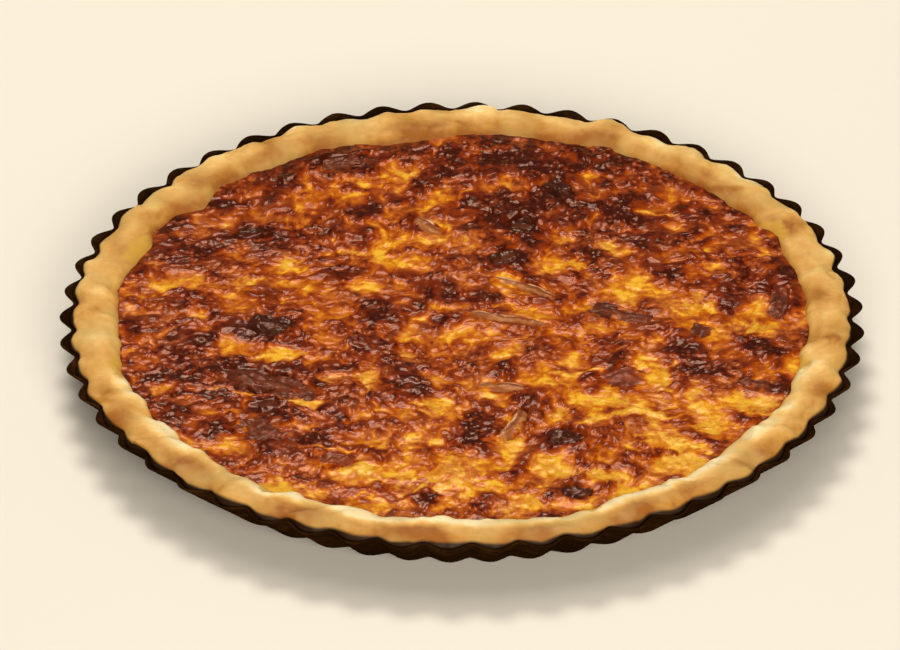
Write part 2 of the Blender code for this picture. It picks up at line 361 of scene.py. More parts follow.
def toppingLook(kind, values):
    look, tree, shader = newLook(kind)
    along = addNode(tree, "ShaderNodeAttribute", attribute_name="along").outputs["Fac"]
    across = addNode(tree, "ShaderNodeAttribute", attribute_name="across").outputs["Fac"]
    side = addNode(tree, "ShaderNodeAttribute", attribute_name="side").outputs["Fac"]
    inwards = addNode(tree, "ShaderNodeAttribute", attribute_name="inwards").outputs["Fac"]
    patch = addNoise(tree, 3.6 * mm, detail=4, rough=0.62)
    place = addNode(tree, "ShaderNodeCombineXYZ", {"X": addMath(tree, "MULTIPLY", along, 0.2), "Y": across})
    fibre = addNode(tree, "ShaderNodeTexNoise", {"Vector": place.outputs[0], "Scale": 3.2, "Detail": 5.0})
    fibre = fibre.outputs["Fac"]
    meat = addMix(tree, addRange(tree, fibre, 0.36, 0.62), values["dark"], values["meat"])
    # paler along each topping's side towards +y, where the window light is: fat on bacon, ham and lardons, and on the
    # onion a painted highlight along its lit ridge
    farSideShare = addMath(tree, "ADD", side, addRange(tree, fibre, 0.3, 0.7, -0.4, 0.4))
    fat = addRange(tree, farSideShare, 0.75 - values["fat"], 1.0 - values["fat"], 0.0, 0.9)
    color = addMix(tree, fat, meat, values["pale"])
    color = addMix(tree, addRange(tree, patch, 0.52, 0.68, 0.0, 0.85), color, values["char"])
    crust, height, gloss = crustColor(tree)
    veil = addMath(tree, "ADD", inwards, addRange(tree, patch, 0.3, 0.7, -values["veil"], values["veil"]))
    veil = addRange(tree, veil, 0.16, 0.44, 1.0, 0.0)
    tree.links.new(addMix(tree, veil, color, crust), shader.inputs["Base Color"])
    own = addRange(tree, fibre, 0.3, 0.7, values["rough"] - 0.06, values["rough"] + 0.1)
    shown = addNode(tree, "ShaderNodeMix", {0: veil, 2: own, 3: gloss}).outputs[0]
    tree.links.new(shown, shader.inputs["Roughness"])
    bump = addBump(tree, fibre, 0.3 * mm)
    tree.links.new(addBump(tree, height, 0.55 * mm, bump), shader.inputs["Normal"])
    addShine(shader, 0.22, (1.0, 0.56, 0.38))
    return look


def floorLook():
    look, tree, shader = newLook("paleFloor")
    shader.inputs["Base Color"].default_value = (0.87, 0.81, 0.69, 1.0)
    shader.inputs["Roughness"].default_value = 0.85
    return look


# ---- tin, by geometry nodes

def fluteAt(angle):
    # 0 in a rounded crease, 1 on a flute's crest
    small = tin["creaseRound"]
    wave = np.sin((angle - tin["firstCrease"]) * tin["flutes"] / 2)
    return (np.sqrt(wave**2 + small**2) - small) / (math.sqrt(1 + small**2) - small)


class TreeMaker:
    # adds nodes and links to a geometry tree with few words
    def __init__(self, name, numbers):
        self.tree = bpy.data.node_groups.new(name, "GeometryNodeTree")
        face = self.tree.interface
        face.new_socket("Geometry", in_out="INPUT", socket_type="NodeSocketGeometry")
        self.values = dict(numbers)
        for label, value in self.values.items():
            kind = "NodeSocketInt" if isinstance(value, int) else "NodeSocketFloat"
            face.new_socket(label, in_out="INPUT", socket_type=kind).default_value = value
        face.new_socket("Geometry", in_out="OUTPUT", socket_type="NodeSocketGeometry")
        self.input = self.tree.nodes.new("NodeGroupInput")
        self.output = self.tree.nodes.new("NodeGroupOutput")

    def add(self, kind, inputs=(), **settings):
        return addNode(self.tree, kind, inputs, **settings)

    def math(self, operation, first, second=0.0, third=0.0):
        return addMath(self.tree, operation, first, second, third)

    def given(self, label):
        return self.input.outputs[label]

    def finish(self, geometry):
        self.tree.links.new(geometry, self.output.inputs[0])

    def applyTo(self, piece):
        # sets every named input by its identifier, then turns the result into a plain mesh
        modifier = piece.modifiers.new(self.tree.name, "NODES")
        modifier.node_group = self.tree
        for item in self.tree.interface.items_tree:
            if item.in_out == "INPUT" and item.name in self.values:
                modifier[item.identifier] = self.values[item.name]
        bakeModifiers(piece)


def makeTin():
    look = tinLook()
    numbers = {
        "Flutes": tin["flutes"],
        "Columns": tin["flutes"] * tin["columnsPerFlute"] + 1,
        "Rows": tin["rows"],
        "Height": tin["height"],
        "Top Radius": tin["topRadius"],
        "Foot Radius": tin["footRadius"],
        "Foot At": tin["footAt"],
        "Flute Depth": tin["fluteDepth"],
        "Depth Left At Foot": tin["depthLeftAtFoot"],
        "First Crease": tin["firstCrease"],
        "Crease Round": tin["creaseRound"],
    }
    maker = TreeMaker("flutedTin", numbers)
    grid = maker.add("GeometryNodeMeshGrid", {"Vertices X": maker.given("Columns"), "Vertices Y": maker.given("Rows")})
    place = maker.add("ShaderNodeSeparateXYZ", {0: maker.add("GeometryNodeInputPosition").outputs[0]})
    turn = maker.math("MULTIPLY", maker.math("ADD", place.outputs["X"], 0.5), 2 * math.pi)
    row = maker.math("ADD", place.outputs["Y"], 0.5)
    footAt = maker.given("Foot At")
    past = maker.math("SUBTRACT", row, footAt)
    wall = maker.math("MAXIMUM", maker.math("DIVIDE", past, maker.math("SUBTRACT", 1.0, footAt)), 0.0)
    floor = maker.math("MINIMUM", maker.math("DIVIDE", past, footAt), 0.0)
    spread = maker.math("SUBTRACT", maker.given("Top Radius"), maker.given("Foot Radius"))
    radius = maker.math("MULTIPLY_ADD", wall, spread, maker.given("Foot Radius"))
    radius = maker.math("MULTIPLY_ADD", floor, maker.given("Foot Radius"), radius)
    rise = maker.math("SMOOTH_MAX", maker.math("DIVIDE", past, maker.math("SUBTRACT", 1.0, footAt)), 0.0, 0.22)
    rise = maker.math("SUBTRACT", rise, 0.0)
    height = maker.math("MULTIPLY", rise, maker.given("Height"))
    wave = maker.math("MULTIPLY", maker.math("MULTIPLY", turn, maker.given("Flutes")), 0.5)
    small = maker.given("Crease Round")
    square = maker.math("MULTIPLY", small, small)
    sine = maker.math("SINE", wave)
    flute = maker.math("SUBTRACT", maker.math("SQRT", maker.math("MULTIPLY_ADD", sine, sine, square)), small)
    widest = maker.math("SUBTRACT", maker.math("SQRT", maker.math("ADD", square, 1.0)), small)
    hollow = maker.math("SUBTRACT", 1.0, maker.math("DIVIDE", flute, widest))
    left = maker.add("ShaderNodeMapRange", {"Value": wall, "To Min": maker.given("Depth Left At Foot"), "To Max": 1.0})
    fadeIn = maker.add("ShaderNodeMapRange", {"Value": floor, "From Min": -0.16, "From Max": 0.0},
                       interpolation_type="SMOOTHSTEP")
    depth = maker.math("MULTIPLY", maker.given("Flute Depth"), left.outputs["Result"])
    depth = maker.math("MULTIPLY", depth, fadeIn.outputs["Result"])
    radius = maker.math("SUBTRACT", radius, maker.math("MULTIPLY", depth, hollow))
    angle = maker.math("ADD", turn, maker.given("First Crease"))
    x = maker.math("MULTIPLY", radius, maker.math("COSINE", angle))
    y = maker.math("MULTIPLY", radius, maker.math("SINE", angle))
    point = maker.add("ShaderNodeCombineXYZ", {"X": x, "Y": y, "Z": height})
    bent = maker.add("GeometryNodeSetPosition", {"Geometry": grid.outputs["Mesh"], "Position": point.outputs[0]})
    closed = maker.add("GeometryNodeMergeByDistance", {"Geometry": bent.outputs[0], "Distance": 0.01 * mm})
    whole = maker.add("GeometryNodeRealizeInstances", {"Geometry": closed.outputs[0]})
    shown = maker.add("GeometryNodeSetMaterial", {"Geometry": whole.outputs[0], "Material": look})
    maker.finish(shown.outputs[0])

    piece = newPiece("flutedTin", [(0, 0, 0)], [], look)
    maker.applyTo(piece)
    body = bmesh.new()
    body.from_mesh(piece.data)
    bmesh.ops.recalc_face_normals(body, faces=body.faces)
    top = max(body.verts, key=lambda v: v.co.z)
    if top.link_faces[0].normal.dot(Vector((top.co.x, top.co.y, 0))) < 0:
        bmesh.ops.reverse_faces(body, faces=body.faces)
    lowest = min(v.co.z for v in body.verts)
    bmesh.ops.translate(body, verts=body.verts, vec=(0, 0, -lowest))
    body.to_mesh(piece.data)
    body.free()
    sheet = piece.modifiers.new("Sheet", "SOLIDIFY")
    sheet.thickness = tin["sheet"]
    sheet.offset = -1.0
    sheet.use_quality_normals = True
    bakeModifiers(piece)
    piece.data.shade_smooth()
    piece.data.set_sharp_from_angle(angle=math.radians(48))
    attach(piece, "root")
    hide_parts("tin")
    print("tin made")
    return piece


# ---- pastry

pastry = {
    "floor": 4.9 * mm,
    "floorRadius": 106 * mm,
    "innerRadius": 120.6 * mm,
    "crestRadius": 128.8 * mm,
    "outerRadius": 135.7 * mm,
    "crest": 22.3 * mm,
    "fillingEdge": 18.6 * mm,
    "columnsPerFlute": 16,
    "rollRows": 40,
    "reachIntoFlutes": 1.9 * mm,
    "contrast": 1.2,  # of its pale and toasted places, and of its painted shade and highlights
    # angle in degrees, half width in degrees, reach towards the middle in mm
    "folds": (
        (28, 5, -2.6), (50, 5, -0.4), (64, 5, -1.6), (72, 5, 0.8), (99, 8, 4.0), (125, 5, 1.6), (141.5, 5, 3.2),
        (150, 4, -2.2), (160, 7, 0.5), (167, 4, -1.0), (178, 10, 1.4), (194, 3, -1.6), (190, 6, 0.8),
        (210, 9, 1.3), (230, 7, 1.8), (246, 7, 2.6), (256, 5, 1.0), (268, 8, 1.6), (286, 6, -1.6), (302, 7, 2.0),
        (322, 8, 2.2), (350, 9, 1.2),
    ),
    # short corners and notches of its inner side, the same way
    "corners": (
        (31, 1.5, 0.9), (35, 1.5, -0.9), (62, 1.6, 1.0), (66, 1.6, -1.6), (72, 2.0, 0.6), (104, 2.0, 1.0),
        (114, 2.0, -0.8), (127, 2.4, -1.2), (134, 2.2, -1.8), (140.6, 1.7, 1.6), (145, 1.6, -1.4), (149, 1.6, 1.2),
        (156, 2.0, 1.0), (169, 2.0, -0.7), (186, 2.0, 0.7), (203, 2.0, 1.2), (208, 1.8, -1.0), (214, 1.8, 0.8),
        (222, 2.0, 1.0), (229, 2.0, -1.0), (237.5, 1.7, -2.2), (241, 1.6, 2.0), (256, 2.0, -0.7), (268, 2.0, 0.8),
        (292, 1.8, -1.8), (300, 2.0, 0.9), (307, 1.6, 1.6), (310, 1.6, -1.2), (326, 2.0, 0.7), (340, 1.8, -1.0),
        (352, 2.0, 0.8),
    ),
    # where the edge laps over the tin: angle, half width in degrees, reach outwards in mm
    "laps": (
        (8.5, 2.0, 1.0), (30, 2.4, 1.0), (67.3, 2.4, 1.0), (202, 2.5, 1.8), (215, 2.6, 2.2), (223.6, 2.4, 3.4),
        (244, 2.4, 1.8), (316, 2.0, 1.0),
    ),
    # creases across the edge: angle, depth in mm, slant in degrees for each mm outwards, step in mm
    "creases": (
        (40, 0.6, -0.55, 1.3), (65, 0.3, 0.1, -0.4), (84, 0.35, 0.05, 0.3), (103, 0.2, -0.1, -0.4),
        (121, 0.4, 0.15, 0.5), (137.5, 0.5, 0.25, -1.2), (149, 0.4, -0.3, 0.7), (170, 0.4, -0.2, 0.5),
        (186, 0.2, 0.1, 0.4), (205, 0.4, -0.45, -1.1), (215, 0.6, -0.2, 1.1), (224, 0.5, 0.2, -0.8),
        (231, 0.3, 0.0, 0.4), (246, 0.7, -0.5, 1.2), (262, 0.2, 0.1, -0.4), (281, 0.3, 0.1, 0.4),
        (298, 0.5, -0.15, -0.7), (305.5, 0.7, 0.05, 0.6), (318, 0.3, 0.2, -0.5), (331, 0.3, -0.2, 0.5),
        (340, 0.3, 0.2, -0.5), (355, 0.4, 0.1, -0.6),
    ),
    # where custard has crept up on it: angle, half width in degrees, strength
    "films": ((28, 2.6, 1.0), (158, 5, 0.9), (193.5, 4, 1.0), (237, 2.8, 1.0), (291, 3, 0.7), (348, 3, 0.9)),
    # patches toasted darker: angle, share of the way outwards, size in mm, strength
    "toastedPatches": (
        (6.5, 0.5, 8, 0.30), (27, 0.55, 8, 0.28), (66, 0.6, 9, 0.28), (99, 0.3, 14, 0.2), (121, 0.55, 9, 0.30),
        (137, 0.6, 7, 0.15), (150, 0.6, 8, 0.15), (206, 0.7, 8, 0.28), (225, 0.75, 11, 0.42), (246, 0.55, 8, 0.25),
        (264, 0.85, 14, 0.35), (283, 0.85, 14, 0.38), (298, 0.7, 9, 0.25), (320, 0.6, 12, 0.22), (341, 0.6, 9, 0.2),
        (355, 0.6, 5, 0.30),
    ),
}


def around(angle, middle):
    # signed distance round the circle, in degrees
    return (np.degrees(angle) - middle + 180) % 360 - 180


def foldReach(angle):
    reach = np.array([noise.noise(Vector((4 * math.cos(a), 4 * math.sin(a), 3.1))) for a in angle]) * 0.9 * mm
    for middle, halfWidth, depth in pastry["folds"] + pastry["corners"]:
        reach += depth * mm * np.exp(-((around(angle, middle) / halfWidth) ** 2))
    return reach


def tinInside(angle, height):
    # radius of the tin's inner side at this angle and height
    share = np.clip(height / tin["height"], 0, 1)
    crest = tin["footRadius"] + (tin["topRadius"] - tin["footRadius"]) * share
    depth = tin["fluteDepth"] * (tin["depthLeftAtFoot"] + (1 - tin["depthLeftAtFoot"]) * share)
    return crest - depth * (1 - fluteAt(angle)) - 1.5 * tin["sheet"]


def pastrySection():
    # (radius, height) from the floor's middle over the rolled edge, down its outer side and back to the middle
    rollFoot = pastry["fillingEdge"] - 3.0 * mm
    points = [(0.0, pastry["floor"])]
    points += [(pastry["floorRadius"] * share, pastry["floor"]) for share in (0.5, 0.97)]
    points.append((pastry["floorRadius"] + 1 * mm, pastry["floor"] + 1.2 * mm))
    for step in range(pastry["rollRows"] + 1):
        turn = math.pi * (1 - step / pastry["rollRows"])
        side, up = math.cos(turn), math.sin(turn)
        end = pastry["innerRadius"] - 0.6 * mm if side < 0 else pastry["outerRadius"]
        full = 1.0 if side < 0 else 0.80
        radius = pastry["crestRadius"] + abs(end - pastry["crestRadius"]) * math.copysign(abs(side) ** full, side)
        points.append((radius, rollFoot + (pastry["crest"] - rollFoot) * up**full))
    outerFoot = tin["footRadius"] - tin["fluteDepth"] - 1.6 * mm
    for share in (0.2, 0.45, 0.7, 0.92):
        radius = pastry["outerRadius"] + (outerFoot - pastry["outerRadius"]) * share
        points.append((radius, rollFoot + (3.4 * mm - rollFoot) * share))
    points += [(outerFoot - 1.6 * mm, 1.2 * mm), (outerFoot * 0.5, 1.2 * mm), (0.0, 1.2 * mm)]
    return np.array(points)


def makePastry():
    section = pastrySection()
    columns = tin["flutes"] * pastry["columnsPerFlute"]
    angle = tin["firstCrease"] + np.arange(columns) * 2 * math.pi / columns
    angleGrid = np.repeat(angle[None, :], len(section), 0)
    radius = np.repeat(section[:, :1], columns, 1)
    height = np.repeat(section[:, 1:], columns, 1)
    outwards = np.clip((radius - pastry["innerRadius"]) / (pastry["outerRadius"] - pastry["innerRadius"]), 0, 1)
    onRoll = smoothStep(height, pastry["fillingEdge"] - 4 * mm, pastry["fillingEdge"] - 1 * mm)

    reach = foldReach(angle)[None, :]
    radius = radius - onRoll * reach * (1.0 - 0.9 * outwards)

    flute = fluteAt(angle)[None, :]
    x, y = radius * np.cos(angleGrid), radius * np.sin(angleGrid)
    uneven = roughNoise(120 * mm * np.cos(angle), 120 * mm * np.sin(angle), 16 * mm, 5, octaves=2)[None, :]
    intoFlutes = pastry["reachIntoFlutes"] * flute * (1 + 0.35 * uneven) + 0.25 * mm * uneven
    outerSide = smoothStep(outwards, 0.55, 1.0) * smoothStep(height, 3 * mm, 9 * mm)
    radius = radius + intoFlutes * outerSide
    lapped = np.zeros_like(radius)
    for middle, halfWidth, depth in pastry["laps"]:
        near = np.exp(-((around(angle, middle) / halfWidth) ** 2))[None, :]
        lapped = lapped + depth * mm * near * smoothStep(outwards, 0.5, 1.0)
    above = smoothStep(height, tin["height"] - 0.3 * mm, tin["height"] + 1.4 * mm)
    radius = radius + lapped * above
    height = height + 0.15 * lapped * above
    # nearly black on the outer side below the tin's edge: partly pastry browned against the tin, partly painted shade
    # in the gap between pastry and tin
    scorched = smoothStep(height, 20.4 * mm, 19.6 * mm) * smoothStep(outwards, 0.75, 0.85)

    lift = np.zeros_like(radius)
    dent = np.zeros_like(radius)
    for middle, depth, slant, step in pastry["creases"]:
        off = (around(angle, middle)[None, :] - slant * (radius - 128 * mm) / mm) * 2.23 * mm  # along the edge
        dent += depth * mm * np.exp(-((off / (1.5 * mm)) ** 2))
        side = np.sign(step) * off
        lift += abs(step) * mm * smoothStep(side, -1.0 * mm, 1.4 * mm) * np.exp(-np.clip(side, 0, None) / (8 * mm))
    x, y = radius * np.cos(angleGrid), radius * np.sin(angleGrid)
    lumps = 1.2 * mm * roughNoise(x, y, 15 * mm, 11, octaves=2) + 0.65 * mm * softNoise(x, y, 6.5 * mm, 17)
    dimple = 0.18 * mm * softNoise(x, y, 2.9 * mm, 23) + 0.07 * mm * softNoise(x, y, 1.5 * mm, 29)
    wrinkles = np.exp(-((roughNoise(x, y, 11 * mm, 37, octaves=2) / 0.09) ** 2))
    wrinkles = wrinkles * smoothStep(softNoise(x, y, 17 * mm, 41), -0.1, 0.4)
    dimple = dimple - 0.35 * mm * wrinkles
    roll = smoothStep(height, pastry["fillingEdge"] - 2 * mm, pastry["crest"] - 1 * mm)
    height = height + roll * (lift - dent + lumps + dimple)
    sideways = onRoll * (1 - roll * 0.6) * (lumps * 0.5 + dimple)
    radius = radius + np.where(outwards > 0.5, sideways, -sideways) * (radius > pastry["floorRadius"] * 1.02)
    topLimit = cadBox[1].z + 0.3 * mm
    height = np.where(height > topLimit - 1 * mm, topLimit - 1 * mm * np.exp(-(height - topLimit + 1 * mm) / mm), height)

    limit = tinInside(angleGrid, height) - 0.4 * mm
    below = (height < tin["height"] + 0.35 * mm) & (radius > 100 * mm)
    radius = np.where(below, np.minimum(radius, limit), radius)
    x, y = radius * np.cos(angleGrid), radius * np.sin(angleGrid)
    points = np.stack([x, y, height], 2)
    rows = len(section)
    faces = []
    for row in range(rows - 1):
        for column in range(columns):
            after = (column + 1) % columns
            faces.append((row * columns + column, (row + 1) * columns + column,
                          (row + 1) * columns + after, row * columns + after))
    look = pastryLook()
    piece = newPiece("pastryCase", points.reshape(-1, 3), faces, look)

    # toasting at random, plus lighter on the tops of lumps and darker between them: painted highlight and shade
    toasted = 0.30 + 0.16 * roughNoise(x, y, 26 * mm, 31, octaves=3) - 0.14 * lumps / mm
    # painted shade: the inner half of the far side darker, where it faces away from the window light
    backwards = np.sin(angleGrid)
    toasted = toasted + np.clip(backwards, 0, 1) * (0.38 * smoothStep(outwards, 0.6, 0.25) - 0.06)
    # painted shade and highlight: the outer half of the near side darker and its inner half lighter; also darker
    # towards the left and right, and painted shade along the wrinkle grooves
    nearSidePaintedShade = 0.30 * smoothStep(outwards, 0.5, 0.8) - 0.46 * smoothStep(outwards, 0.66, 0.35)
    toasted = toasted + np.clip(-backwards, 0, 1) * nearSidePaintedShade + 0.09 * abs(np.cos(angleGrid)) + 0.12 * wrinkles
    toasted = toasted + 0.10 * smoothStep(height, pastry["crest"] - 1.2 * mm, pastry["crest"] + 1.0 * mm)
    # painted shade: a dark line along the inner edge, where the pastry meets the custard, and darker in the creases
    toasted = toasted + 0.35 * np.exp(-(((outwards + 0.02) / 0.10) ** 2)) + 0.12 * dent / mm
    # darker on the outer side below the tin's edge: browning against the tin and painted shade in the gap
    toasted = toasted + 0.22 * smoothStep(outwards, 0.9, 1.0) * smoothStep(height, 21 * mm, 18 * mm)
    for middle, place, size, strength in pastry["toastedPatches"]:
        alongEdge = around(angle, middle)[None, :] * 2.23
        acrossEdge = (outwards - place) * 14
        toasted = toasted + strength * np.exp(-(alongEdge**2 + acrossEdge**2) / (size * 0.6) ** 2)
    # painted shade and highlight: darker where the rolled edge faces the front, lighter where it faces the back and the
    # window light
    facing = np.zeros(len(piece.data.vertices) * 3)
    piece.data.vertex_normals.foreach_get("vector", facing)
    paintedFacingShade = -facing.reshape(-1, 3)[:, 1].reshape(toasted.shape) * roll
    toasted = toasted + 0.32 * np.clip(paintedFacingShade, 0, 1) - 0.16 * np.clip(-paintedFacingShade, 0, 1)
    toasted = 0.37 + pastry["contrast"] * (toasted - 0.37)
    film = np.zeros_like(toasted)
    for middle, halfWidth, strength in pastry["films"]:
        film += strength * np.exp(-((around(angle, middle)[None, :] / halfWidth) ** 2)) * smoothStep(outwards, 0.55, 0.15)
    pointValue(piece, "film", film)
    pointValue(piece, "toasted", toasted)
    pointValue(piece, "scorched", scorched)
    body = bmesh.new()
    body.from_mesh(piece.data)
    bmesh.ops.remove_doubles(body, verts=body.verts, dist=0.005 * mm)
    body.to_mesh(piece.data)
    body.free()
    faceOutwards(piece)
    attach(piece, "root")
    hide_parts("pastry_case")
    print("pastry made")
    return piece


# ---- toppings: the solids' own shapes, made finer

toppingKinds = {
    "onion": {
        "meat": (0.42, 0.145, 0.036), "dark": (0.20, 0.040, 0.011), "pale": (0.78, 0.44, 0.20), "fat": 0.50,
        "char": (0.20, 0.040, 0.010), "rough": 0.30, "veil": 0.62, "ridge": 0.2, "ridgeWidth": 2.6, "lump": 0.5,
        "edgeWave": 0.22, "lip": 0.5, "sunk": 0.3,
    },
    "bacon": {
        "meat": (0.175, 0.036, 0.013), "dark": (0.092, 0.016, 0.005), "pale": (0.36, 0.15, 0.080), "fat": 0.20,
        "char": (0.050, 0.010, 0.004), "rough": 0.32, "veil": 0.78, "ridge": 0.35, "ridgeWidth": 3.2, "lump": 1.0,
        "edgeWave": 0.38, "lip": 0.3, "sunk": 0.6,
    },
    "ham": {
        "meat": (0.25, 0.052, 0.020), "dark": (0.15, 0.026, 0.009), "pale": (0.50, 0.24, 0.13), "fat": 0.14,
        "char": (0.10, 0.016, 0.006), "rough": 0.32, "veil": 0.80, "ridge": 0.35, "ridgeWidth": 3.6, "lump": 1.0,
        "edgeWave": 0.44, "lip": 0.4, "sunk": 0.6,
    },
    "lardon": {
        "meat": (0.080, 0.016, 0.006), "dark": (0.040, 0.0085, 0.0035), "pale": (0.20, 0.08, 0.045), "fat": 0.08,
        "char": (0.024, 0.0065, 0.003), "rough": 0.22, "veil": 0.74, "ridge": 0.35, "ridgeWidth": 3.0, "lump": 1.1,
        "edgeWave": 0.36, "lip": 0.0, "sunk": 1.1,
    },
}


class Topping:
    # where a topping's solid lies: its middle, the way it runs, its bend and half sizes
    def __init__(self, node):
        self.node = node
        self.kind = node.split("_")[0]
        points = readPoints(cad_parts[node].data)
        self.middle = (points.min(0) + points.max(0)) / 2
        flat = points[:, :2] - points[:, :2].mean(0)
        run = np.linalg.svd(flat, full_matrices=False)[2][0]
        self.along = run if run[0] >= 0 else -run
        self.across = np.array([-self.along[1], self.along[0]])
        self.curve = np.zeros(3)
        a, b, c = self.local(points)
        self.curve = np.polyfit(a, b, 2)
        a, b, c = self.local(points)
        self.half = np.array([abs(a).max(), abs(b).max(), abs(c).max()])

    def local(self, points):
        flat = points[:, :2] - self.middle[:2]
        a = flat @ self.along
        return a, flat @ self.across - np.polyval(self.curve, a), points[:, 2] - self.middle[2]

    def world(self, a, b, c):
        flat = self.middle[:2] + np.outer(a, self.along) + np.outer(b + np.polyval(self.curve, a), self.across)
        return np.column_stack([flat, c + self.middle[2]])

    def away(self, x, y):
        # below 1 inside the topping's outline
        points = np.column_stack([x.ravel(), y.ravel(), np.zeros(x.size)])
        a, b, c = self.local(points)
        share = (abs(a / self.half[0]) ** 2.6 + abs(b / self.half[1]) ** 2.6) ** (1 / 2.6)
        return share.reshape(x.shape)


def makeTopping(topping, look, values, seed):
    words = topping.node.split("_")
    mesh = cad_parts[topping.node].data.copy()
    piece = bpy.data.objects.new(words[0] + "".join(word.capitalize() for word in words[1:]), mesh)
    bpy.context.scene.collection.objects.link(piece)
    mesh.materials.clear()
    mesh.materials.append(look)
    body = bmesh.new()
    body.from_mesh(mesh)
    bmesh.ops.remove_doubles(body, verts=body.verts, dist=0.01 * mm)
    body.to_mesh(mesh)
    body.free()
    finer = piece.modifiers.new("Finer", "SUBSURF")
    finer.levels = finer.render_levels = 4 if topping.half[0] > 14 * mm else 3
    bakeModifiers(piece)
    mesh = piece.data

    a, b, c = topping.local(readPoints(mesh))
    a, b, c = (part * half / abs(part).max() for part, half in zip((a, b, c), topping.half))
    top = smoothStep(c / topping.half[2], -0.1, 0.7)
    side = b / topping.half[1]
    wide = values["edgeWave"]
    b2 = b * (1 + wide * softNoise(a + seed, np.sign(b) * 9 * mm, 9 * mm, seed))
    b2 = b2 + wide * 0.5 * topping.half[1] * softNoise(a, b + seed, 5 * mm, seed + 1) * abs(side)
    a2 = a * (1 + 0.3 * wide * softNoise(b + seed, a * 0, 5 * mm, seed + 2))
    ridges = 1 - 2 * abs(softNoise(a * 0.22 + seed, b, values["ridgeWidth"] * mm, seed + 3))
    lumps = softNoise(a, b * 1.3 + seed, 6.5 * mm, seed + 4) + 0.5 * softNoise(a, b, 2.8 * mm, seed + 5)
    fine = softNoise(a, b + c, 1.4 * mm, seed + 6)
    lip = smoothStep(side, 0.35, 0.75)
    rise = values["ridge"] * ridges + values["lump"] * (lumps - 0.3) + 0.08 * fine + values["lip"] * lip - 0.2
    share = np.minimum((abs(a / topping.half[0]) ** 2.6 + abs(side) ** 2.6) ** (1 / 2.6), 1)
    rise -= values["sunk"] + 1.2 * smoothStep(share, 0.5, 1.0)
    points = topping.world(a2, b2, c + top * rise * mm)
    mesh.vertices.foreach_set("co", points.ravel())
    mesh.update()
    pointValue(piece, "along", a / (10 * mm))
    pointValue(piece, "across", b / (10 * mm))
    pointValue(piece, "side", side)
    pointValue(piece, "inwards", (1 - share) * smoothStep(c / topping.half[2], 0.0, 0.5))
    pointValue(piece, "bake", bakeAt(points[:, 0], points[:, 1]) + 0.06)
    mesh.shade_smooth()
    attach(piece, "root")
    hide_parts(topping.node)


def makeToppings():
    looks = {kind: toppingLook(kind, values) for kind, values in toppingKinds.items()}
    for index, topping in enumerate(toppings):
        makeTopping(topping, looks[topping.kind], toppingKinds[topping.kind], 40 + 7 * index)
    print("toppings made")


# ---- filling

